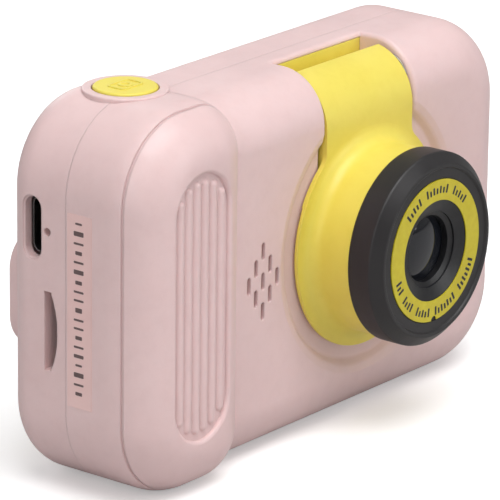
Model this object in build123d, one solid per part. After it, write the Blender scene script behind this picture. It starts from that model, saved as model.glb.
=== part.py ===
from build123d import *
import math
import os

os.makedirs("parts", exist_ok=True)

# Frame: X along the body, Y from front (-) to rear (+), Z up, millimetres.
# The model is drawn with the rear face on Y = 0 and the base on Z = 0, then
# shifted along Y by SHIFT_Y so that the origin is under the middle of the box.

# ---- body -----------------------------------------------------------------
HALF_L = 48.0          # half length of the body
GRIP_H = 60.0          # height of the grip end
MAIN_H = 58.0          # height of the rest of the body
MAIN_T = 24.1          # thickness of the rest of the body
GRIP_T = 27.8          # thickness of the grip end
GRIP_X = -21.8         # where the grip's outline ends
R_CORNER = 13.5        # body corners
R_GRIP_IN = 8.4        # the grip's inner corners
R_REAR = 5.0           # edge round at the rear
R_FRONT = 8.2          # edge round at the front
R_GRIP_F = 8.0         # edge round of the grip's front
WALL = 1.8
SEAM_REAR = -12.2      # rear cover to middle frame
SEAM_GRIP = -22.4      # middle frame to front cover, on the grip
SEAM_STEP_X = -23.2
GROOVE_W = 0.4
GROOVE_D = 0.24
GAP = 0.05

# ---- lens head ------------------------------------------------------------
LX, LZ = 10.7, 29.7    # lens axis
HINGE_Y, HINGE_Z = -18.8, 51.9
ARM_HALF = 10.9        # half width of the swinging arm
CUT_HALF = 11.3        # half width of its cut-out
POCKET_R = 5.62
DRUM_R = 5.2
LINER_R = 6.15         # outside of the liner behind the drum
RIM_Y = -13.2         # rear rim of the cut-out
HOOD_TOP = 57.0
HOOD_R = 8.5
MAIN_SEAM_REAR = -9.9   # rear cover to front cover, beside the grip
SIDE_ROUND = 0.75
R_BASE, R_NECK, R_RING = 17.9, 15.0, 15.4
DISH_R, DISH_Y = 20.1, -22.9
BACK_Y = -23.2         # back face of the lens head
RING_Y0, RING_Y1 = -31.6, -37.3
R_LABEL_IN, R_LABEL_OUT = 8.05, 11.35
PIN_R, BUSH_R, BUSH_IN = 1.75, 2.2, 1.5
RUN = 0.05             # running clearance of the hinge

# ---- controls -------------------------------------------------------------
SHUT_X, SHUT_Y, SHUT_R, BOSS_R = -31.7, -10.0, 4.95, 6.6
PAD_X, PAD_Z, PAD_HALF, PAD_TOP = -34.4, 28.2, 9.2, 3.1
TILT_Y = -4.1                                  # depth of both tilt axes of the direction pad
KEY_R = 2.9
KEYS = {
    "power_button": (-36.9, 46.8),
    "playback_button": (-28.1, 46.8),
    "menu_button": (-36.9, 10.4),
    "effects_button": (-28.1, 10.4),
}
PRESS = 0.5

# ---- display --------------------------------------------------------------
WIN = (-18.2, 35.4, 8.6, 49.4)
LCD = (-20.0, 37.2, 7.8, 50.0)

SHIFT_Y = 17.0
hinge_axis = Axis((0, HINGE_Y, HINGE_Z), (1, 0, 0))


def slab(x0, x1, y0, y1, z0, z1):
    return Pos((x0 + x1) / 2, (y0 + y1) / 2, (z0 + z1) / 2) * Box(
        abs(x1 - x0), abs(y1 - y0), abs(z1 - z0)
    )


def plate_y(x0, x1, z0, z1, y_back, y_front, r_left=0.0, r_right=0.0):
    s = Rectangle(x1 - x0, z1 - z0)
    if r_left:
        s = fillet(s.vertices().group_by(Axis.X)[0], r_left)
    if r_right:
        s = fillet(s.vertices().group_by(Axis.X)[-1], r_right)
    s = Plane.XZ.offset(-y_back) * Pos((x0 + x1) / 2, (z0 + z1) / 2) * s
    return extrude(s, y_back - y_front)


def block(x0, x1, z0, z1, y_back, y_front, r_left, r_right, r_rear, r_front):
    b = plate_y(x0, x1, z0, z1, y_back, y_front, r_left, r_right)
    if r_rear:
        b = fillet(b.faces().sort_by(Axis.Y)[-1].edges(), r_rear)
    if r_front:
        b = fillet(b.faces().sort_by(Axis.Y)[0].edges(), r_front)
    return b


def envelope(d=0.0):
    """The body's outer form, moved in by d on every side."""
    grip = block(-HALF_L + d, GRIP_X - d, d, GRIP_H - d, -d, -GRIP_T + d,
                 R_CORNER - d, R_GRIP_IN - d, R_REAR - d, R_GRIP_F - d)
    main = block(GRIP_X - 7.5, HALF_L - d, d, MAIN_H - d, -d, -MAIN_T + d,
                 0, R_CORNER - d, R_REAR - d, R_FRONT - d)
    return grip + main


def cyl_y(x, z, r, y0, y1):
    return Plane.XZ.offset(-y1) * Pos(x, z) * extrude(Circle(r), y1 - y0)


def cyl_x(y, z, r, x0, x1):
    return Plane.YZ.offset(x0) * Pos(y, z) * extrude(Circle(r), x1 - x0)


def cyl_z(x, y, r, z0, z1):
    return Pos(x, y, z0) * extrude(Circle(r), z1 - z0)


def turned(points, radii=None, x=LX, z=LZ):
    """Solid of revolution about the Y line through x, z; points are (r, y)."""
    pts = [(x + r, y, z) for r, y in points]
    if radii:
        face = make_face(FilletPolyline(*pts, radius=radii, close=True))
    else:
        face = make_face(Polyline(*pts, close=True))
    return revolve(face, Axis((x, 0, z), (0, 1, 0)), 360)


def slot_y(x, z, w, h, y0, y1):
    """Upright stadium through Y."""
    s = SlotOverall(h, w, rotation=90)
    return Plane.XZ.offset(-y1) * Pos(x, z) * extrude(s, y1 - y0)


def prism_x(points, radii, x0, x1):
    """Y-Z outline swept along X."""
    pts = [(x0, y, z) for y, z in points]
    if radii:
        face = make_face(FilletPolyline(*pts, radius=radii, close=True))
    else:
        face = make_face(Polyline(*pts, close=True))
    return extrude(face, x1 - x0, dir=(1, 0, 0))


def save(name, shape, moved=True):
    solids = shape.solids() if not isinstance(shape, (list, tuple)) else shape
    out = [Pos(0, SHIFT_Y, 0) * s for s in solids]
    out = out[0] if len(out) == 1 else Compound(children=list(out))
    export_step(out, f"parts/{name}.step")


# ===========================================================================
# Body shells
# ===========================================================================
outer = envelope()
inner = envelope(WALL)
skin = envelope(GROOVE_D)

boss = cyl_z(SHUT_X, SHUT_Y, BOSS_R, 57.0, GRIP_H + 0.3)
boss = fillet(boss.edges().sort_by(Axis.Z)[-1], 0.25)

shell = outer + boss - inner

# grooves that mark the two joints
groove_front = outer - skin
band_grip = slab(-60, SEAM_STEP_X, SEAM_GRIP - GROOVE_W, SEAM_GRIP, -5, 70)
groove = groove_front & band_grip
shell = shell - groove

# splitting regions
rear_zone = slab(-60, SEAM_STEP_X, SEAM_REAR, 10, -5, 70) + slab(SEAM_STEP_X, 60, MAIN_SEAM_REAR, 10, -5, 70) \
    + cyl_z(SHUT_X, SHUT_Y, BOSS_R, 50, 70)
front_zone = slab(-60, SEAM_STEP_X, -60, SEAM_GRIP, -5, 70) + slab(SEAM_STEP_X, 60, -60, MAIN_SEAM_REAR, -5, 70)

rear_cover = shell & rear_zone
front_cover = (shell & front_zone) - cyl_z(SHUT_X, SHUT_Y, BOSS_R, 50, 70)
middle_frame = shell - rear_zone - front_zone

# ---- front cover: dish, backing, hinge pocket, arm cut-out -----------------
pocket_x0, pocket_x1 = LX - CUT_HALF, LX + CUT_HALF
backing = cyl_y(LX, LZ, 22.8, -21.1, -22.6) & inner
pocket_box = slab(pocket_x0 - 2.0, pocket_x1 + 2.0, -23.4, MAIN_SEAM_REAR, 43.4, 57.4) & envelope(0.4)
channel_box = slab(pocket_x0 - 1.5, pocket_x1 + 1.5, -22.5, -17.7, 33.0, 46.0)
front_cover = front_cover + backing + pocket_box + channel_box

dish = turned(
    [(0, DISH_Y), (DISH_R, DISH_Y), (21.1, -23.75), (22.3, -MAIN_T), (22.3, -30), (0, -30)],
    [0, 0.7, 1.2, 0, 0, 0],
)
front_cover = front_cover - dish

pocket_round = cyl_x(HINGE_Y, HINGE_Z, LINER_R + 0.03, pocket_x0, pocket_x1)
pocket_mid = slab(pocket_x0, pocket_x1, -32, HINGE_Y + LINER_R + 0.03, HINGE_Z, 57.2)
pocket_top = slab(pocket_x0, pocket_x1, -32, RIM_Y, HINGE_Z, 70)
pocket_front = slab(pocket_x0, pocket_x1, -32, -19.2, 34.5, HINGE_Z + 1)
front_cover = front_cover - pocket_round - pocket_mid - pocket_top - pocket_front


def on_rim(e):
    c = e.center()
    side = min(abs(c.X - pocket_x0), abs(c.X - pocket_x1)) < 0.01
    bb = e.bounding_box()
    flat_x = bb.size.X < 0.01
    top = c.Z > 57.9 and abs(c.Y - RIM_Y) < 0.01
    front = flat_x and side and c.Y < -13.1 and c.Z > 46.5 and not (bb.size.Z < 0.01 and c.Z < 57.9) \
        and (c.Z > 57.9 or c.Y < -24.05 or (bb.size.Y > 7.5 and bb.size.Z > 7.5))
    return top or front


rim = [e for e in front_cover.edges() if on_rim(e)]
front_cover = fillet(rim, SIDE_ROUND)
# bearing holes for the hinge bush and pin
front_cover = front_cover - cyl_x(HINGE_Y, HINGE_Z, BUSH_R + RUN, pocket_x0 - 5, pocket_x0 + 1)
front_cover = front_cover - cyl_x(HINGE_Y, HINGE_Z, PIN_R + RUN, pocket_x1 - 1, pocket_x1 + 5)

# ---- grip pad --------------------------------------------------------------
pad_cx, pad_cz, pad_w, pad_h = -34.65, 30.1, 12.3, 41.8
pad = slot_y(pad_cx, pad_cz, pad_w, pad_h, -30, -27.0)
front_cover = front_cover - pad
# keep material behind the pad
pad_back = slot_y(pad_cx, pad_cz, pad_w + 2, pad_h + 2, -26.95, -25.4) & envelope(0.8)
front_cover = front_cover + pad_back
pad_edges = [e for e in front_cover.edges()
             if e.bounding_box().min.Y > -27.85 and e.bounding_box().max.Y < -27.75
             and abs(e.center().X - pad_cx) < 8 and 5 < e.center().Z < 55
             and e.bounding_box().size.X <= pad_w + 0.1]
pad_edges = [e for e in pad_edges if abs(e.bounding_box().min.Y - e.bounding_box().max.Y) < 0.001
             and (abs(abs(e.center().X - pad_cx) - pad_w / 2) < 0.01 or e.geom_type == GeomType.CIRCLE)]
front_cover = fillet(pad_edges, 0.55)
ribs = []
for i in range(6):
    dx = (i - 2.5) * 1.9
    half = pad_h / 2 - (pad_w / 2 - math.sqrt((pad_w / 2) ** 2 - dx * dx)) - 0.9
    if half > 3:
        rib = cyl_z(pad_cx + dx, -26.55, 0.95, pad_cz - half, pad_cz + half)
        rib = fillet(rib.edges(), 0.9)
        ribs.append(rib)
for rib in ribs:
    front_cover = front_cover + rib

# ---- speaker slots ----------------------------------------------------------
SP_X, SP_Z, SP_PX, SP_PZ = -15.85, 28.7, 1.72, 4.8
for col, count in enumerate((1, 2, 3, 2, 1)):
    for k in range(count):
        sx = SP_X + (col - 2) * SP_PX
        sz = SP_Z + (k - (count - 1) / 2) * SP_PZ
        front_cover = front_cover - slot_y(sx, sz, 0.85, 2.8, -26, -21)

# ---- rear cover openings ----------------------------------------------------
rear_cover = rear_cover - cyl_z(SHUT_X, SHUT_Y, SHUT_R + 0.2, 50, 65)
win_hole = plate_y(WIN[0] + 1.6, WIN[1] - 1.6, WIN[2] + 1.6, WIN[3] - 1.6, 1, -4, 2, 2)
win_seat = plate_y(WIN[0], WIN[1], WIN[2], WIN[3], 1, -1.1, 3, 3)
rear_cover = rear_cover - win_hole - win_seat
pad_hole = plate_y(PAD_X - PAD_HALF - 0.3, PAD_X + PAD_HALF + 0.3, PAD_Z - PAD_HALF - 0.3,
                   PAD_Z + PAD_HALF + 0.3, 1, -4, 5.8, 5.8)
rear_cover = rear_cover - pad_hole
for kx, kz in KEYS.values():
    rear_cover = rear_cover - cyl_y(kx, kz, KEY_R + 0.2, -4, 1)
# charging socket, card slot, charge lamp, all on the left end
USB_Y, USB_Z = -5.6, 41.45


def slot_x(y, z, w, h, x0, x1):
    s = SlotOverall(h, w, rotation=90)
    return Plane.YZ.offset(x0) * Pos(y, z) * extrude(s, x1 - x0)


rear_cover = rear_cover - slot_x(USB_Y, USB_Z, 3.3, 9.5, -50, -44)
rear_cover = rear_cover - slot_x(USB_Y, USB_Z, 3.8, 10.0, -50, -HALF_L + 0.45)
rear_cover = rear_cover - slab(-50, -44, -9.4, -8.0, 19.6, 32.0)
nail = cyl_x(-9.0 + 15.3 - 1.6, 25.8, 15.3, -50, -HALF_L + 1.3) & slab(-50, -44, -11, -9.2, 20.1, 31.5)
rear_cover = rear_cover - nail
rear_cover = rear_cover - cyl_x(-8.65, 41.3, 0.65, -50, -44)
# guide behind the card slot
rear_cover = rear_cover + slab(-46.5, -43.5, -7.98, -7.25, 18.9, 32.7)
# screw posts and recessed screw holes in the rear cover
SCREWS = [(-21.6, 52.6), (-21.6, 5.2), (40.3, 47.4), (40.3, 10.6)]

# ---- screw posts ------------------------------------------------------------
for sx, sz in SCREWS:
    post = cyl_y(sx, sz, 2.6, -19.0, -2.0) & inner
    rear_post = cyl_y(sx, sz, 2.6, -12.2, -1.0) & envelope(0.5)
    rear_cover = rear_cover + rear_post
    rear_cover = rear_cover - cyl_y(sx, sz, 1.2, -13, 1)
    rear_cover = rear_cover - cyl_y(sx, sz, 2.0, -3.65, 1)
    front_post = (cyl_y(sx, sz, 2.6, -24.0, SEAM_REAR - 0.1) & envelope(1.0)) - cyl_y(sx, sz, 0.95, -20, -12)
    middle_frame = middle_frame - cyl_y(sx, sz, 2.7, -26, -12)
    front_cover = front_cover + front_post

save("front_cover", front_cover)
save("middle_frame", middle_frame)
save("rear_cover", rear_cover)

# ===========================================================================
# Display stack
# ===========================================================================
window = plate_y(WIN[0] + 0.1, WIN[1] - 0.1, WIN[2] + 0.1, WIN[3] - 0.1, -0.1, -1.05, 2.9, 2.9)
save("display_window", window)
gasket = plate_y(WIN[0] - 0.5, WIN[1] + 0.5, WIN[2] - 0.3, WIN[3] + 0.3, -1.85, -2.3, 2, 2) \
    - plate_y(WIN[0] + 2.2, WIN[1] - 2.2, WIN[2] + 2.2, WIN[3] - 2.2, -1, -3, 1, 1)
save("display_gasket", gasket)
lcd = plate_y(LCD[0], LCD[1], LCD[2], LCD[3], -2.35, -4.6)
lcd = lcd - slab(WIN[0] + 2.0, WIN[1] - 5.0, -2.35, -2.45, WIN[2] + 1.8, WIN[3] - 1.8)
save("display_module", lcd)
tray = slab(LCD[0] - 0.4, LCD[1] + 0.3, -6.2, -4.65, LCD[2] + 0.2, LCD[3] - 0.2) \
    - slab(LCD[0] + 4, LCD[1] - 4, -7, -4, LCD[2] + 5, LCD[3] - 5)
save("display_tray", tray)

# ===========================================================================
# Electronics
# ===========================================================================
board = plate_y(-44.6, 37.0, 6.0, 49.4, -7.2, -8.4, 10, 3)
board = board - slab(-50, -43.4, -9, -7, 17.5, 33.5)
board = board - cyl_y(-21.6, 5.2, 3.0, -9, -7) - cyl_y(-21.6, 52.6, 3.0, -9, -7)
for sx, sz in SCREWS[2:]:
    board = board - cyl_y(sx, sz, 3.0, -9, -7)
save("main_board", board)

usb = slot_x(USB_Y, USB_Z, 3.1, 8.95, -46.0, -38.7) - slot_x(USB_Y, USB_Z, 2.5, 8.35, -47, -39.5)
usb = usb + slab(-44.8, -38.9, -5.9, -5.3, USB_Z - 3.0, USB_Z + 3.0)
save("charging_socket", usb)
card = slab(-43.2, -29.0, -9.95, -8.42, 18.9, 32.7) - slab(-44, -30.2, -9.55, -8.85, 20.3, 31.3)
save("card_socket", card)
chips = [slab(-10, 0, -9.6, -8.42, 12, 22), slab(6, 14, -9.5, -8.42, 8, 14), slab(-20, -16, -9.3, -8.42, 36, 41),
         slab(16, 20, -9.3, -8.42, 20, 24)]
save("board_chips", chips)
led = cyl_x(-8.65, 41.3, 0.55, -46.7, -44.7)
led = led + slab(-44.8, -43.0, -9.5, -8.42, 40.4, 42.2)
save("charge_lamp", led)

switches = []
for kx, kz in KEYS.values():
    switches.append(slab(kx - 1.6, kx + 1.6, -7.18, -6.2, kz - 1.6, kz + 1.6))
switches.append(slab(PAD_X - 1.6, PAD_X + 1.6, -7.18, -6.2, PAD_Z - 1.6, PAD_Z + 1.6))
for ax, az in ((0, 6.3), (0, -6.3), (6.3, 0), (-5.6, 0)):
    switches.append(slab(PAD_X + ax - 1.3, PAD_X + ax + 1.3, -7.18, -6.4, PAD_Z + az - 1.3, PAD_Z + az + 1.3))
save("key_switches", switches)

battery = block(24.9, 44.6, 14.2, 42.8, -9.6, -17.4, 2, 2, 0.9, 0.9)
save("battery", battery)
wire_a = cyl_z(28.0, -9.2, 0.45, 43.0, 47.0)
wire_b = cyl_z(30.0, -9.2, 0.45, 43.0, 47.0)
save("battery_leads", [wire_a, wire_b, slab(26.4, 31.6, -10.6, -8.42, 47.1, 49.2)])

speaker = plate_y(-21.4, -12.6, 21.0, 36.4, -17.8, -21.6, 4.3, 4.3)
speaker = fillet(speaker.faces().sort_by(Axis.Y)[-1].edges(), 0.6)
save("speaker", speaker)
mesh_cloth = plate_y(-21.2, -12.4, 21.2, 36.2, -21.65, -21.95, 4.2, 4.2)
save("speaker_mesh", mesh_cloth)
mic = cyl_y(-15.8, 10.5, 2.0, -10.0, -8.42)
save("microphone", mic)

shutter_board = slab(-37.6, -25.8, -15.6, -8.6, 50.4, 51.4)
save("shutter_board", shutter_board)
shutter_switch = slab(-34.7, -28.7, -13.0, -8.8, 51.42, 54.2) + cyl_z(SHUT_X, -10.9, 1.5, 54.2, 54.9)
save("shutter_switch", shutter_switch)

screws = []
for sx, sz in SCREWS:
    s = cyl_y(sx, sz, 0.9, -17.0, -3.4) + cyl_y(sx, sz, 1.85, -3.6, -2.25)
    s = s - slab(sx - 1.3, sx + 1.3, -2.8, -2, sz - 0.2, sz + 0.2) - slab(sx - 0.2, sx + 0.2, -2.8, -2, sz - 1.3, sz + 1.3)
    screws.append(s.solid())
save("case_screws", screws)

# clear sticker on the left end
sticker = slab(-HALF_L - 0.06, -HALF_L - 0.0, -17.3, -12.6, 15.0, 45.2)
save("side_label", sticker)

# ===========================================================================
# Controls
# ===========================================================================
button = cyl_z(SHUT_X, SHUT_Y, SHUT_R, 55.2, GRIP_H + 0.62)
button = fillet(button.edges().sort_by(Axis.Z)[-1], 0.4)
button = button + cyl_z(SHUT_X, SHUT_Y, SHUT_R + 0.9, 55.2, 56.3)
ring_mark = cyl_z(SHUT_X, SHUT_Y, 1.15, 60, GRIP_H + 0.78) - cyl_z(SHUT_X, SHUT_Y, 0.65, 60, GRIP_H + 1.6)
frame_mark = (Pos(SHUT_X, SHUT_Y, GRIP_H + 0.38) * (extrude(RectangleRounded(5.0, 3.4, 0.7), 0.4)
              - extrude(RectangleRounded(4.4, 2.8, 0.5), 0.5)))
button = button + ring_mark + frame_mark
# underside is hollow, the switch stands inside
button = button - cyl_z(SHUT_X, SHUT_Y, SHUT_R - 1.1, 55, 59.6)
button = button + cyl_z(SHUT_X, SHUT_Y, 1.2, 55.6, 59.8)
save("shutter_button", button)

pad_cap = block(PAD_X - PAD_HALF, PAD_X + PAD_HALF, PAD_Z - PAD_HALF, PAD_Z + PAD_HALF,
                PAD_TOP, -2.6, 5.5, 5.5, 0.8, 0)
pad_flange = plate_y(PAD_X - 9.85, PAD_X + 9.85, PAD_Z - 9.75, PAD_Z + 9.75, -2.45, -3.4, 6.2, 6.2)
dpad = pad_cap + pad_flange - cyl_y(PAD_X, PAD_Z, 3.75, -6, 5)
for k in range(4):
    mark = Rot(0, -90.0 * k, 0) * Pos(0, PAD_TOP - 0.25, 6.2) * (Plane.XZ * extrude(
        make_face(Polyline((-1.5, -0.7), (1.5, -0.7), (0, 0.9), close=True)), -0.45))
    dpad = dpad + Pos(PAD_X, 0, PAD_Z) * mark
save("dpad", dpad)

plate = plate_y(PAD_X - 7.3, PAD_X + 7.3, PAD_Z - 8.0, PAD_Z + 8.0, -3.75, -4.4, 5.0, 5.0) - cyl_y(PAD_X, PAD_Z, 4.2, -6, -3)
for ax, az in ((0, 6.3), (0, -6.3), (6.3, 0), (-5.6, 0)):
    plate = plate + cyl_y(PAD_X + ax, PAD_Z + az, 0.9, -5.5, -4.2)
# round ridges on the left-right tilt axis, slim trunnions on the up-down tilt axis
for s in (-1, 1):
    plate = plate + cyl_z(PAD_X, TILT_Y, 0.6, PAD_Z + min(4.6 * s, 7.9 * s), PAD_Z + max(4.6 * s, 7.9 * s))
    plate = plate + cyl_x(TILT_Y, PAD_Z, 0.3, PAD_X + min(7.0 * s, 9.2 * s), PAD_X + max(7.0 * s, 9.2 * s))
save("dpad_rocker", plate)

ok = cyl_y(PAD_X, PAD_Z, 3.35, -3.6, 2.5)
ok = fillet(ok.edges().sort_by(Axis.Y)[-1], 0.6) + cyl_y(PAD_X, PAD_Z, 1.0, -5.3, -3.5)
save("ok_button", ok)

for name, (kx, kz) in KEYS.items():
    key = cyl_y(kx, kz, KEY_R, -2.6, 0.9)
    key = fillet(key.edges().sort_by(Axis.Y)[-1], 0.5) + cyl_y(kx, kz, KEY_R + 0.7, -3.4, -2.4) \
        + cyl_y(kx, kz, 0.9, -5.5, -3.3)
    save(name, key)

# ===========================================================================
# Lens head, turning about the hinge line
# ===========================================================================
ax0, ax1 = LX - ARM_HALF, LX + ARM_HALF
arm = turned(
    [(16.15, BACK_Y), (R_BASE, BACK_Y), (R_BASE, -24.0), (R_NECK, -24.0), (R_NECK, RING_Y0 + 0.05),
     (13.9, RING_Y0 + 0.05), (13.9, -34.4), (12.6, -34.4), (12.6, -24.45), (16.15, -24.45)],
    [0, 0.3, 0.15, 2.6, 0, 0, 0, 0, 0, 0],
)
# neck and hood follow the body's front form, a hair under its surface
hood_out = block(ax0 - 20, ax1 + 20, 0.1, HOOD_TOP, -0.1, -MAIN_T + 0.1, 0, 0, 0, HOOD_R)
hood_in = block(ax0 - 25, ax1 + 25, 1.8, HOOD_TOP - 1.7, 0.5, -MAIN_T + 1.8, 0, 0, 0, HOOD_R - 1.7)
hood = (hood_out - hood_in) & slab(ax0, ax1, -30, -17.9, LZ, 60)
hood = hood - cyl_y(LX, LZ, 16.15, -24.45, -20) - cyl_y(LX, LZ, 12.6, -30, -20)
drum = cyl_x(HINGE_Y, HINGE_Z, DRUM_R, ax0, ax1) & hood_out
neck = Pos(LX, LZ) * Circle(R_BASE) + Pos(LX, LZ + 12) * Rectangle(2 * ARM_HALF, 24)
neck = fillet([v for v in neck.vertices() if v.Y < LZ + 20], 2.6)
flare = (Plane.XZ.offset(-BACK_Y) * extrude(neck, 0.8)) & slab(-20, 40, -26, -20, LZ + 8, LZ + 17)
flare = flare - cyl_y(LX, LZ, 16.15, -24.45, -20) - cyl_y(LX, LZ, 12.6, -30, -20)
web = slab(ax0, ax1, -22.6, -18.8, 49.6, 54.2)
arm = arm + hood + drum + flare + (web & hood_out)
hood_edge = slab(ax0, ax1, -19.4, -17.9, 54.0, HOOD_TOP) & hood_out
arm = arm + hood_edge
arm = arm - cyl_x(HINGE_Y, HINGE_Z, BUSH_R, ax0 - 1, ax0 + 5) - cyl_x(HINGE_Y, HINGE_Z, BUSH_IN, ax0, LX + 4)
arm = arm - cyl_x(HINGE_Y, HINGE_Z, PIN_R, ax1 - 5, ax1 + 1)
# slot for the ribbon from the neck into the drum
arm = arm - slab(LX - 3.8, LX + 3.8, -22.25, -18.5, 46.2, HINGE_Z)
back_holes = [(LX + 13.8 * math.cos(math.radians(a)), LZ + 13.8 * math.sin(math.radians(a)))
              for a in (20, 160, 218, 322)]
for hx, hz in back_holes:
    arm = arm - cyl_y(hx, hz, 0.85, -28.0, -24.0)
save("lens_arm", arm)

back = turned([(0, BACK_Y), (16.0, BACK_Y), (16.0, -24.4), (0, -24.4)])
duct = slab(LX - 7.2, LX + 7.2, -23.3, -20.0, 35.3, 46.5)
duct = fillet(duct.edges().filter_by(Axis.Z).sort_by(Axis.Y)[-2:], 1.2)
back = back + (duct & slab(-50, 50, -23.3, -10, 30, 47.0))
back = back - slab(LX - 5.2, LX + 5.2, -25, -21.2, 36.5, 48)
back = back - (slab(-50, 50, -24.6, -22.25, LZ + 14.0, 60) - cyl_y(LX, LZ, 16.0, -25, -22))
for hx, hz in back_holes:
    back = back - cyl_y(hx, hz, 0.95, -26, -20) - cyl_y(hx, hz, 1.7, -23.7, -20)
save("arm_back_cover", back)
arm_screws = []
for hx, hz in back_holes:
    s = cyl_y(hx, hz, 0.85, -27.5, -23.5) + cyl_y(hx, hz, 1.6, -23.7, -23.25)
    arm_screws.append(s.solid())
save("arm_screws", arm_screws)

bezel = turned(
    [(13.95, RING_Y0), (R_RING, RING_Y0), (R_RING, -35.7), (13.75, RING_Y1), (13.2, RING_Y1),
     (13.0, -37.0), (11.45, -36.95), (11.45, -34.45), (13.95, -34.45)],
    [0, 0.35, 0.5, 0.25, 0.1, 0.08, 0, 0, 0],
)
save("lens_bezel", bezel)

cone = turned(
    [(5.3, -35.45), (6.1, -35.8), (6.1, -36.15), (8.0, -36.85), (11.4, -36.85), (11.4, -35.2),
     (7.2, -35.2), (7.2, -29.0), (5.6, -29.0), (5.6, -34.4), (5.3, -34.4)],
)
save("lens_cone", cone)
label = turned([(R_LABEL_IN, -36.9), (R_LABEL_OUT, -36.9), (R_LABEL_OUT, -37.08), (R_LABEL_IN, -37.08)])
notch = cyl_y(LX - 11.35 * math.sin(math.radians(0.5)), LZ - 11.35 * math.cos(math.radians(0.5)), 0.7, -40, -30)
save("label_ring", label - notch)

R_DOME = (5.2 ** 2 + 0.95 ** 2) / (2 * 0.95)
glass = cyl_y(LX, LZ, 5.5, -34.35, -33.3)
dome = (Pos(LX, -34.3 - 0.95 + R_DOME, LZ) * Sphere(R_DOME)) & cyl_y(LX, LZ, 5.2, -36, -34.3)
save("lens_glass", glass + dome)
barrel = turned(
    [(3.4, -33.2), (5.5, -33.2), (5.5, -27.45), (4.6, -27.45), (4.6, -30.4), (4.3, -30.4), (4.3, -32.2), (3.4, -32.6)],
)
save("lens_barrel", barrel)
R_D2 = (4.1 ** 2 + 0.8 ** 2) / (2 * 0.8)
element = cyl_y(LX, LZ, 4.55, -30.35, -29.5) + ((Pos(LX, -30.3 - 0.8 + R_D2, LZ) * Sphere(R_D2)) & cyl_y(LX, LZ, 4.1, -32, -30.3))
save("inner_lens", element)
sensor = slab(LX - 8.2, LX + 8.2, -27.4, -26.4, LZ - 8.2, LZ + 8.2) + slab(LX - 3.5, LX + 3.5, -28.6, -27.3, LZ - 3.0, LZ + 3.0)
save("sensor_board", sensor)

bush = cyl_x(HINGE_Y, HINGE_Z, BUSH_R, pocket_x0 - 2.85, ax0 + 4.5) + cyl_x(HINGE_Y, HINGE_Z, 2.65, pocket_x0 - 2.85, pocket_x0 - 2.05)
bush = bush - cyl_x(HINGE_Y, HINGE_Z, BUSH_IN, pocket_x0 - 5, ax0 + 6)
save("hinge_bush", bush)
pin = cyl_x(HINGE_Y, HINGE_Z, PIN_R, ax1 - 4.6, pocket_x1 + 2.85) + cyl_x(HINGE_Y, HINGE_Z, 2.6, pocket_x1 + 2.05, pocket_x1 + 2.85)
save("hinge_pin", pin)
washer = cyl_x(HINGE_Y, HINGE_Z, 3.9, ax1 + 0.06, pocket_x1 - 0.06) - cyl_x(HINGE_Y, HINGE_Z, PIN_R + 0.1, ax1 - 1, pocket_x1 + 1)
save("friction_washer", washer)

# liner of the cut-out behind the drum
liner = cyl_x(HINGE_Y, HINGE_Z, LINER_R, pocket_x0 + 0.03, pocket_x1 - 0.03) \
    + slab(pocket_x0 + 0.03, pocket_x1 - 0.03, -14.5, HINGE_Y + LINER_R, HINGE_Z, 57.15)
liner = liner - cyl_x(HINGE_Y, HINGE_Z, POCKET_R, pocket_x0 - 1, pocket_x1 + 1) \
    - slab(pocket_x0 - 1, pocket_x1 + 1, -40, RIM_Y, HINGE_Z, 70) \
    - slab(pocket_x0 - 1, pocket_x1 + 1, -40, -17.5, 30, 70)
save("hinge_liner", liner)

# ribbon: in the head (up the duct), and in the body (down to the board)
ribbon_head = slab(LX - 3.0, LX + 3.0, -22.0, -21.8, 38.2, 47.6) + slab(LX - 3.0, LX + 3.0, -26.3, -21.8, 38.0, 38.2)
save("ribbon_head", ribbon_head)
ribbon_body = slab(-9.0, -5.0, -18.4, -18.2, 40.0, 50.5) + slab(-9.0, -5.0, -18.4, -8.6, 39.8, 40.0)
save("ribbon_body", ribbon_body)
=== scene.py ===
import math
import bmesh
import bpy
from mathutils import Matrix, Vector


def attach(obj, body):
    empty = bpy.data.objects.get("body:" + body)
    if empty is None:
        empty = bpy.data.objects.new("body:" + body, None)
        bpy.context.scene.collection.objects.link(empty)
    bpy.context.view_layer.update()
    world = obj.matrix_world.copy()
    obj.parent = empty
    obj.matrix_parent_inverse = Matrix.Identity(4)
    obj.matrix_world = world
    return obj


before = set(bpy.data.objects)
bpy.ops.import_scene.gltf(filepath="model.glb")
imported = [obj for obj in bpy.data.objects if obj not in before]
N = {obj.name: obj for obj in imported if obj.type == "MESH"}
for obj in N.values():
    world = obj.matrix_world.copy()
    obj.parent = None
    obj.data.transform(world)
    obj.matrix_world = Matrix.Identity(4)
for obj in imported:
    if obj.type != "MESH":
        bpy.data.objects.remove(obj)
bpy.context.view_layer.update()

MM = 0.001
SY = 17.0             # the CAD's shift along Y, mm
LX, LZ = 10.7, 29.7   # lens axis, mm


def P(x, y, z):
    """A point of the drawing (rear face on y 0), in the row frame."""
    return Vector((x * MM, (y + SY) * MM, z * MM))


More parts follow.
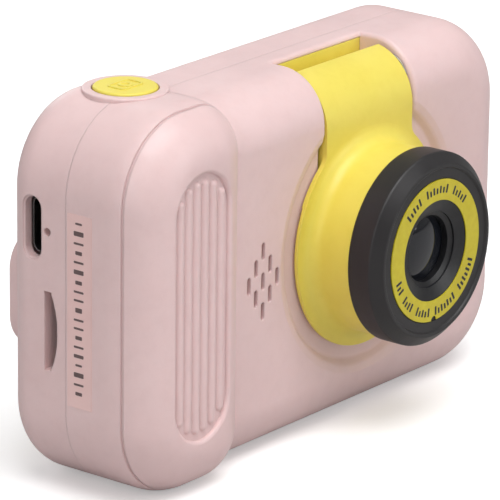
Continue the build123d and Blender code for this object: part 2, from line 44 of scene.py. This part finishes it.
# ---------------------------------------------------------------------------
# camera
# ---------------------------------------------------------------------------
az, el, roll = math.radians(-51.7480), math.radians(18.3128), math.radians(0.6687)
focal_px = math.exp(8.45122457)
tx, ty, px_mm = -7.0185, 5.1595, 6.35781
dist = focal_px / px_mm
back = Vector((math.sin(az) * math.cos(el), -math.cos(az) * math.cos(el), math.sin(el)))
right = Vector((math.cos(az), math.sin(az), 0))
up = back.cross(right)
R = right * math.cos(roll) + up * math.sin(roll)
U = up * math.cos(roll) - right * math.sin(roll)
where = Vector((0, SY, 30)) - R * tx - U * ty + back * dist
cam_data = bpy.data.cameras.new("camera")
cam_data.sensor_width = 36
cam_data.sensor_fit = "HORIZONTAL"
cam_data.lens = focal_px / 500 * 36
cam_data.clip_start, cam_data.clip_end = 0.01, 20
cam = bpy.data.objects.new("camera", cam_data)
bpy.context.scene.collection.objects.link(cam)
M = Matrix((R, U, back)).transposed().to_4x4()
M.translation = where * MM
cam.matrix_world = M
bpy.context.scene.camera = cam

# ---------------------------------------------------------------------------
# materials
# ---------------------------------------------------------------------------


class Mat:
    """A small helper round one node tree."""

    def __init__(self, name):
        self.m = bpy.data.materials.new(name)
        self.m.use_nodes = True
        self.t = self.m.node_tree
        self.b = self.t.nodes["Principled BSDF"]
        self.co = self.t.nodes.new("ShaderNodeTexCoord").outputs["Object"]

    def new(self, kind, **props):
        n = self.t.nodes.new(kind)
        for k, v in props.items():
            setattr(n, k, v)
        return n

    def link(self, a, b):
        self.t.links.new(a, b)

    def noise(self, scale, detail=2.0, rough=0.5, co=None, stretch=None):
        src = co or self.co
        if stretch:
            mp = self.new("ShaderNodeMapping")
            mp.inputs["Scale"].default_value = stretch
            self.link(src, mp.inputs["Vector"])
            src = mp.outputs["Vector"]
        n = self.new("ShaderNodeTexNoise")
        n.inputs["Scale"].default_value = scale
        n.inputs["Detail"].default_value = detail
        n.inputs["Roughness"].default_value = rough
        self.link(src, n.inputs["Vector"])
        return n.outputs["Fac"]

    def ramp(self, fac, a, b, lo=0.3, hi=0.7):
        r = self.new("ShaderNodeMapRange")
        r.inputs["From Min"].default_value = lo
        r.inputs["From Max"].default_value = hi
        r.inputs["To Min"].default_value = a
        r.inputs["To Max"].default_value = b
        self.link(fac, r.inputs["Value"])
        return r.outputs["Result"]

    def mix(self, fac, c1, c2, blend="MIX"):
        x = self.new("ShaderNodeMix", data_type="RGBA", blend_type=blend)
        for key, v in ((0, fac), (6, c1), (7, c2)):
            if isinstance(v, (int, float, tuple)):
                x.inputs[key].default_value = v
            else:
                self.link(v, x.inputs[key])
        return x.outputs[2]

    def math(self, op, a, b=0.0, clamp=False):
        x = self.new("ShaderNodeMath", operation=op, use_clamp=clamp)
        for i, v in enumerate((a, b)):
            if isinstance(v, (int, float)):
                x.inputs[i].default_value = v
            else:
                self.link(v, x.inputs[i])
        return x.outputs[0]

    def edge(self, radius):
        """1 on outside edges, 0 on open surfaces."""
        bev = self.new("ShaderNodeBevel", samples=6)
        bev.inputs["Radius"].default_value = radius
        geo = self.new("ShaderNodeNewGeometry")
        dot = self.new("ShaderNodeVectorMath", operation="DOT_PRODUCT")
        self.link(bev.outputs[0], dot.inputs[0])
        self.link(geo.outputs["Normal"], dot.inputs[1])
        return self.ramp(dot.outputs["Value"], 1.0, 0.0, 0.80, 0.985), bev.outputs[0]

    def bump(self, layers, soft=None):
        """layers: (height socket, strength, distance)."""
        last = soft
        for h, s, d in layers:
            n = self.new("ShaderNodeBump")
            n.inputs["Strength"].default_value = s
            n.inputs["Distance"].default_value = d
            self.link(h, n.inputs["Height"])
            if last is not None:
                self.link(last, n.inputs["Normal"])
            last = n.outputs["Normal"]
        if last is not None:
            self.link(last, self.b.inputs["Normal"])

    def set(self, **kw):
        for k, v in kw.items():
            s = self.b.inputs[k.replace("_", " ")]
            if hasattr(v, "links"):
                self.link(v, s)
            else:
                s.default_value = v


def srgb(r, g, b, a=1.0):
    def f(c):
        c /= 255.0
        return c / 12.92 if c <= 0.04045 else ((c + 0.055) / 1.055) ** 2.4
    return (f(r), f(g), f(b), a)


def plastic(name, base, light, dark, rough=(0.34, 0.46), soft=0.00035, sss=0.08, grain=0.10, spec=0.5, rounded=True):
    m = Mat(name)
    broad = m.noise(38, 3, 0.55)
    fine = m.noise(420, 4, 0.6)
    specks = m.noise(2600, 2, 0.5)
    edge, round_n = m.edge(soft)
    c = m.mix(m.ramp(broad, 0, 1, 0.32, 0.68), base, light)
    c = m.mix(m.ramp(fine, 0.0, 0.22, 0.45, 0.75), c, dark)
    c = m.mix(m.ramp(specks, 0.0, 0.10, 0.62, 0.8), c, dark)
    wear = m.math("MULTIPLY", edge, m.ramp(fine, 0.15, 0.75, 0.35, 0.65))
    c = m.mix(m.math("MULTIPLY", wear, 0.35), c, light)
    r = m.ramp(m.noise(150, 4, 0.62), rough[0], rough[1], 0.3, 0.7)
    r = m.math("SUBTRACT", r, m.math("MULTIPLY", wear, 0.08))
    m.set(Base_Color=c, Roughness=r)
    m.b.inputs["Specular IOR Level"].default_value = spec
    if sss:
        m.b.inputs["Subsurface Weight"].default_value = sss
        m.b.inputs["Subsurface Radius"].default_value = (1.0, 0.5, 0.4)
        m.b.inputs["Subsurface Scale"].default_value = 0.0012
    m.bump([(m.noise(1900, 3, 0.6), grain, 0.00004), (m.noise(55, 2, 0.5), 0.05, 0.0004)], round_n if rounded else None)
    return m.m


PINK = plastic("pink_plastic", srgb(229, 199, 198), srgb(236, 207, 206), srgb(218, 185, 184))
PINK_KEY = plastic("pink_key", srgb(228, 197, 196), srgb(235, 206, 205), srgb(217, 184, 183), soft=0.0002)
YELLOW = plastic("yellow_plastic", srgb(236, 218, 92), srgb(243, 227, 110), srgb(224, 203, 70), rough=(0.34, 0.46), soft=0.0003)
ARM = plastic("arm_plastic", srgb(234, 215, 88), srgb(241, 224, 106), srgb(222, 200, 68), rough=(0.34, 0.46), rounded=False)
YELLOW_KEY = plastic("yellow_key", srgb(236, 218, 88), srgb(243, 227, 106), srgb(224, 203, 68), rough=(0.36, 0.5), soft=0.00015)
BLACK = plastic("black_plastic", srgb(36, 34, 35), srgb(44, 42, 43), srgb(28, 27, 28), rough=(0.36, 0.50), soft=0.00022, sss=0, grain=0.16, spec=0.45)


def inner_black():
    m = Mat("lens_black")
    rings = m.noise(900, 3, 0.6)
    edge, soft = m.edge(0.0001)
    c = m.mix(m.ramp(rings, 0, 1), srgb(16, 16, 18), srgb(26, 26, 29))
    c = m.mix(m.math("MULTIPLY", edge, 0.5), c, srgb(60, 62, 70))
    m.set(Base_Color=c, Roughness=m.ramp(m.noise(300, 3), 0.28, 0.42))
    m.bump([(rings, 0.08, 0.00003)], soft)
    return m.m


LENS_BLACK = inner_black()


def printed_yellow():
    m = Mat("printed_yellow")
    n = m.noise(700, 4, 0.6)
    c = m.mix(m.ramp(n, 0, 1), srgb(214, 200, 48), srgb(203, 186, 36))
    c = m.mix(m.ramp(m.noise(90, 3), 0, 0.4), c, srgb(190, 172, 34))
    m.set(Base_Color=c, Roughness=m.ramp(m.noise(240, 3), 0.34, 0.5))
    m.bump([(m.noise(2400, 3), 0.12, 0.00003)])
    return m.m


LABEL = printed_yellow()


def coated_glass(name, tint, rough=0.03):
    m = Mat(name)
    # painted reflection: the base colour runs from the dark tint face-on to a bluish grey towards grazing angles
    grazing_reflection_mask = m.new("ShaderNodeLayerWeight")
    grazing_reflection_mask.inputs["Blend"].default_value = 0.25
    c = m.mix(grazing_reflection_mask.outputs["Facing"], tint, srgb(30, 34, 44))
    dust = m.noise(1500, 4, 0.7)
    m.set(Base_Color=c, Roughness=m.ramp(dust, rough, rough + 0.08, 0.5, 0.8))
    m.b.inputs["IOR"].default_value = 1.45
    m.b.inputs["Coat Weight"].default_value = 0.3
    m.b.inputs["Coat Roughness"].default_value = 0.04
    m.bump([(m.noise(60, 2), 0.01, 0.0002)])
    return m.m


GLASS = coated_glass("front_glass", srgb(20, 21, 26))
GLASS2 = coated_glass("inner_glass", srgb(24, 24, 40))


def metal(name, c1, c2, rough=(0.22, 0.4), stretch=None):
    m = Mat(name)
    n = m.noise(600, 4, 0.6, stretch=stretch)
    edge, soft = m.edge(0.0001)
    c = m.mix(m.ramp(n, 0, 1), c1, c2)
    c = m.mix(m.math("MULTIPLY", edge, 0.4), c, (0.9, 0.9, 0.9, 1))
    m.set(Base_Color=c, Roughness=m.ramp(m.noise(300, 3, stretch=stretch), *rough))
    m.b.inputs["Metallic"].default_value = 1.0
    m.bump([(n, 0.08, 0.00003)], soft)
    return m.m


STEEL = metal("steel", (0.46, 0.46, 0.47, 1), (0.60, 0.60, 0.60, 1), stretch=(1, 8, 1))
SHELL = metal("socket_shell", (0.10, 0.10, 0.10, 1), (0.16, 0.155, 0.15, 1), rough=(0.35, 0.5))
NICKEL = metal("nickel", (0.62, 0.61, 0.58, 1), (0.72, 0.71, 0.69, 1), rough=(0.14, 0.28))


def simple(name, c1, c2, scale=300, rough=(0.4, 0.6), grain=0.15):
    m = Mat(name)
    n = m.noise(scale, 4, 0.6)
    edge, soft = m.edge(0.0001)
    c = m.mix(m.ramp(n, 0, 1), c1, c2)
    c = m.mix(m.math("MULTIPLY", edge, 0.25), c, (0.7, 0.7, 0.7, 1))
    m.set(Base_Color=c, Roughness=m.ramp(m.noise(scale * 0.5, 3), *rough))
    m.bump([(m.noise(scale * 4, 3), grain, 0.00003)], soft)
    return m.m


PCB = simple("solder_mask", srgb(18, 84, 48), srgb(24, 98, 58), 200)
CHIP = simple("chip", srgb(24, 24, 25), srgb(38, 38, 40), 900)
CELL = simple("cell_wrap", srgb(150, 156, 162), srgb(172, 176, 180), 60, (0.25, 0.4))
WIRE = simple("wire", srgb(170, 30, 26), srgb(190, 44, 36), 400)
RIBBON = simple("ribbon", srgb(180, 104, 40), srgb(196, 122, 52), 300)
CLOTH = simple("cloth", srgb(20, 20, 20), srgb(36, 36, 36), 2500, (0.8, 0.95), 0.5)
FOAM = simple("foam", srgb(22, 22, 22), srgb(34, 34, 34), 900, (0.8, 0.95), 0.5)


def clear_film():
    m = Mat("clear_film")
    m.set(Base_Color=m.mix(m.ramp(m.noise(120, 3), 0, 1), srgb(236, 196, 192), srgb(243, 206, 202)),
          Roughness=m.ramp(m.noise(260, 4, 0.6), 0.14, 0.26))
    m.b.inputs["Coat Weight"].default_value = 0.5
    m.b.inputs["Coat Roughness"].default_value = 0.08
    m.bump([(m.noise(140, 3), 0.10, 0.0001)])
    return m.m


FILM = clear_film()


def pane():
    """Clear pane with a black printed border."""
    m = Mat("display_pane")
    sep = m.new("ShaderNodeSeparateXYZ")
    m.link(m.co, sep.inputs[0])
    # distance outside the clear area
    cx, cz, hx, hz = 8.4 * MM, 29.0 * MM, 24.3 * MM, 18.2 * MM
    dx = m.math("SUBTRACT", m.math("ABSOLUTE", m.math("SUBTRACT", sep.outputs[0], cx)), hx)
    dz = m.math("SUBTRACT", m.math("ABSOLUTE", m.math("SUBTRACT", sep.outputs[2], cz)), hz)
    border = m.ramp(m.math("MAXIMUM", dx, dz), 0, 1, -0.00004, 0.00004)
    smear = m.noise(70, 4, 0.6)
    c = m.mix(border, m.mix(m.ramp(smear, 0, 1), srgb(30, 33, 40), srgb(38, 42, 50)), srgb(9, 9, 10))
    m.set(Base_Color=c, Roughness=m.ramp(smear, 0.05, 0.12))
    m.b.inputs["Coat Weight"].default_value = 0.8
    m.b.inputs["Coat Roughness"].default_value = 0.04
    m.bump([(m.noise(40, 2), 0.02, 0.0002)])
    return m.m


PANE = pane()


def lamp_clear():
    m = Mat("light_pipe")
    m.set(Base_Color=m.mix(m.noise(500, 3), srgb(236, 232, 230), srgb(214, 206, 204)), Roughness=m.ramp(m.noise(300, 2), 0.15, 0.3))
    m.b.inputs["Subsurface Weight"].default_value = 0.4
    m.b.inputs["Subsurface Scale"].default_value = 0.001
    return m.m


PIPE = lamp_clear()

INK = simple("ink", srgb(46, 44, 44), srgb(60, 57, 57), 900, (0.45, 0.6))
LABEL_INK = simple("label_ink", srgb(98, 78, 78), srgb(112, 92, 91), 900, (0.45, 0.6))
INK_DARK = simple("ink_dark", srgb(28, 27, 24), srgb(40, 38, 32), 900, (0.4, 0.55))

use = {
    "front_cover": PINK, "middle_frame": PINK, "rear_cover": PINK,
    "display_window": PANE, "display_gasket": FOAM, "display_module": CHIP, "display_tray": STEEL,
    "main_board": PCB, "board_chips": CHIP, "charging_socket": SHELL, "card_socket": STEEL,
    "charge_lamp": PIPE, "key_switches": STEEL, "battery": CELL, "battery_leads": WIRE,
    "speaker": CHIP, "speaker_mesh": CLOTH, "microphone": STEEL, "shutter_board": PCB,
    "shutter_switch": CHIP, "case_screws": STEEL, "side_label": FILM, "hinge_bush": BLACK,
    "hinge_pin": STEEL, "friction_washer": STEEL, "hinge_liner": YELLOW, "ribbon_body": RIBBON, "ribbon_head": RIBBON,
    "lens_arm": ARM, "arm_back_cover": YELLOW, "arm_screws": STEEL, "lens_bezel": BLACK,
    "lens_cone": LENS_BLACK, "label_ring": LABEL, "lens_glass": GLASS, "lens_barrel": LENS_BLACK,
    "inner_lens": GLASS2, "sensor_board": PCB, "shutter_button": YELLOW_KEY, "dpad": PINK_KEY,
    "dpad_rocker": BLACK, "ok_button": YELLOW_KEY, "power_button": YELLOW_KEY,
    "playback_button": YELLOW_KEY, "menu_button": YELLOW_KEY, "effects_button": YELLOW_KEY,
}
for name, mat in use.items():
    if name not in N:
        continue
    o = N[name]
    if not o.material_slots:
        o.data.materials.append(mat)
    for s in o.material_slots:
        s.material = mat

# ---------------------------------------------------------------------------
# printed marks and small symbols, as thin raised ink or paint
# ---------------------------------------------------------------------------


def thin(name, polys, frame3, depth, mat, body):
    """Flat polygons [(u, v), ...] in mm on a plane (origin, u axis, v axis), raised by depth."""
    origin, ua, va = frame3
    n = ua.cross(va)
    bm = bmesh.new()
    for poly in polys:
        low = [bm.verts.new(origin + ua * (u * MM) + va * (v * MM)) for u, v in poly]
        top = [bm.verts.new(x.co + n * (depth * MM)) for x in low]
        k = len(poly)
        bm.faces.new(top)
        bm.faces.new(list(reversed(low)))
        for i in range(k):
            bm.faces.new((low[i], low[(i + 1) % k], top[(i + 1) % k], top[i]))
    me = bpy.data.meshes.new(name)
    bmesh.ops.recalc_face_normals(bm, faces=bm.faces)
    bm.to_mesh(me)
    bm.free()
    me.materials.append(mat)
    o = bpy.data.objects.new(name, me)
    bpy.context.scene.collection.objects.link(o)
    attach(o, body)
    return o


def arc_bar(r0, r1, a, width_mm):
    """A radial bar at angle a (degrees) whose corners are cut."""
    ca, sa = math.cos(math.radians(a)), math.sin(math.radians(a))
    w, c = width_mm / 2, min(width_mm, r1 - r0) * 0.2
    pts = [(r0, -w + c), (r0 + c, -w), (r1 - c, -w), (r1, -w + c), (r1, w - c), (r1 - c, w), (r0 + c, w), (r0, w - c)]
    return [(r * ca - t * sa, r * sa + t * ca) for r, t in pts]


def ring_poly(r0, r1, a0, a1, n=24):
    out = [(r1 * math.cos(math.radians(a0 + (a1 - a0) * i / n)), r1 * math.sin(math.radians(a0 + (a1 - a0) * i / n))) for i in range(n + 1)]
    inn = [(r0 * math.cos(math.radians(a1 - (a1 - a0) * i / n)), r0 * math.sin(math.radians(a1 - (a1 - a0) * i / n))) for i in range(n + 1)]
    return out + inn


# scale marks on the yellow ring: groups of bars, long and short in turn
marks = []


def scale(a0, a1, groups, sign):
    n = sum(groups) + (len(groups) - 1) * 1.4
    step = (a1 - a0) / (n - 1)
    pos, i = 0.0, 0
    for g in groups:
        for k in range(g):
            a = a0 + step * pos
            r0, r1 = (9.15, 10.55) if k in (0, g - 1) else ((9.15, 10.1) if (k % 2) else (9.15, 10.35))
            if sign < 0:
                r0, r1 = 19.7 - r1, 19.7 - r0
            marks.append(arc_bar(r0, r1, a, 0.42))
            pos += 1
            i += 1
        pos += 1.4


scale(136, 43, (5, 7, 5), 1)
scale(-162, -22, (3, 4, 5, 7, 7), -1)
lens_front = (P(LX, -37.08, LZ), Vector((1, 0, 0)), Vector((0, 0, 1)))
thin("ring_marks", marks, lens_front, 0.02, INK_DARK, "lens_head")

# bars printed on the clear label of the left end (u runs up, v runs to the rear)
rows = []
widths = (0.55, 0.35, 0.75, 0.35, 0.55, 0.35, 0.6, 0.35, 0.35, 0.75, 0.35, 0.35, 0.6, 0.7, 0.35, 0.6, 0.35, 0.75, 0.35)
gap = (44.0 - 17.0 - sum(widths)) / (len(widths) - 1)
z = 17.0
for i, w in enumerate(widths):
    half = 0.95 if i % 3 else 0.65
    rows.append([(z, -half + 0.1), (z + 0.08, -half), (z + w - 0.08, -half), (z + w, -half + 0.1),
                 (z + w, half - 0.1), (z + w - 0.08, half), (z + 0.08, half), (z, half - 0.1)])
    z += w + gap
thin("label_bars", rows, (P(-48.06, -14.8, 0), Vector((0, 0, 1)), Vector((0, 1, 0))), 0.004, LABEL_INK, "body")

# symbols on the rear keys (u runs to the left seen from behind, v runs up)


def key_frame(x, z, y):
    return (P(x, y, z), Vector((-1, 0, 0)), Vector((0, 0, 1)))


def star(r0, r1, n=5):
    out = []
    for i in range(2 * n):
        r = r1 if i % 2 == 0 else r0
        a = math.pi / 2 + math.pi * i / n
        out.append((r * math.cos(a), r * math.sin(a)))
    return out


KEY = {"power": (-36.9, 46.8), "playback": (-28.1, 46.8), "menu": (-36.9, 10.4), "effects": (-28.1, 10.4)}
WHITE = simple("white_ink", srgb(226, 222, 220), srgb(240, 237, 235), 900, (0.4, 0.55))
thin("power_symbol", [ring_poly(1.0, 1.3, -230, 50), [(-0.15, 0.3), (0.15, 0.3), (0.15, 1.45), (-0.15, 1.45)]],
     key_frame(*KEY["power"], 0.9), 0.02, INK, "power_key")
thin("playback_symbol", [[(-0.8, -1.1), (1.2, 0.0), (-0.8, 1.1)]], key_frame(*KEY["playback"], 0.9), 0.02, INK, "playback_key")
thin("menu_symbol", [[(-1.1, v - 0.17), (1.1, v - 0.17), (1.1, v + 0.17), (-1.1, v + 0.17)] for v in (-0.8, 0.0, 0.8)],
     key_frame(*KEY["menu"], 0.9), 0.02, INK, "menu_key")
thin("effects_symbol", [star(0.6, 1.45)], key_frame(*KEY["effects"], 0.9), 0.02, INK, "effects_key")
thin("ok_ring", [ring_poly(1.1, 1.4, 0, 359.9, 40)], key_frame(-34.4, 28.2, 2.5), 0.02, INK, "ok_key")

# ---------------------------------------------------------------------------
# stage
# ---------------------------------------------------------------------------
bpy.ops.mesh.primitive_plane_add(size=6, location=(0, 0, 0))
floor = bpy.context.object
floor.name = "floor"
fm = bpy.data.materials.new("floor")
fm.use_nodes = True
fm.node_tree.nodes["Principled BSDF"].inputs["Base Color"].default_value = (0.92, 0.92, 0.92, 1)
fm.node_tree.nodes["Principled BSDF"].inputs["Roughness"].default_value = 0.9
fm.node_tree.nodes["Principled BSDF"].inputs["Specular IOR Level"].default_value = 0.1
floor.data.materials.append(fm)
ft = fm.node_tree
fpath = ft.nodes.new("ShaderNodeLightPath")
fcol = ft.nodes.new("ShaderNodeMix")
fcol.data_type = "RGBA"
fcol.inputs[6].default_value = (0.56, 0.55, 0.55, 1)
fcol.inputs[7].default_value = (0.95, 0.95, 0.95, 1)
ft.links.new(fpath.outputs["Is Camera Ray"], fcol.inputs[0])
ft.links.new(fcol.outputs[2], ft.nodes["Principled BSDF"].inputs["Base Color"])
# the paper sweep glows a little for the camera, so that it reads as plain white
glow = ft.nodes.new("ShaderNodeMath")
glow.operation = "MULTIPLY"
glow.inputs[1].default_value = 0.30
ft.links.new(fpath.outputs["Is Camera Ray"], glow.inputs[0])
ft.nodes["Principled BSDF"].inputs["Emission Color"].default_value = (1, 1, 1, 1)
ft.links.new(glow.outputs[0], ft.nodes["Principled BSDF"].inputs["Emission Strength"])

world = bpy.data.worlds.new("world")
bpy.context.scene.world = world
world.use_nodes = True
world.node_tree.nodes["Background"].inputs["Color"].default_value = (1, 1, 1, 1)
world.node_tree.nodes["Background"].inputs["Strength"].default_value = 0.30
wt = world.node_tree
wpath = wt.nodes.new("ShaderNodeLightPath")
wbright = wt.nodes.new("ShaderNodeMapRange")
wbright.inputs["To Min"].default_value = 0.30
wbright.inputs["To Max"].default_value = 0.97
wt.links.new(wpath.outputs["Is Camera Ray"], wbright.inputs["Value"])
wt.links.new(wbright.outputs["Result"], wt.nodes["Background"].inputs["Strength"])


def area(name, loc, target, size, power, colour=(1, 1, 1)):
    d = bpy.data.lights.new(name, "AREA")
    d.shape = "RECTANGLE"
    d.size, d.size_y = size
    d.energy = power
    d.color = colour
    o = bpy.data.objects.new(name, d)
    bpy.context.scene.collection.objects.link(o)
    o.location = loc
    o.rotation_euler = (Vector(loc) - Vector(target)).to_track_quat("Z", "Y").to_euler()
    return o


T = (0, 0, 0.03)
area("top", (-0.10, -0.25, 0.8), T, (0.7, 0.5), 5.6)
area("front_right", (0.40, -0.8, 0.30), T, (0.30, 0.5), 1.45)
area("left", (-0.8, -0.25, 0.35), T, (0.35, 0.5), 1.15)
area("rear", (0.55, 0.85, 0.40), T, (0.45, 0.5), 1.3)
bpy.context.scene.view_settings.view_transform = "Standard"
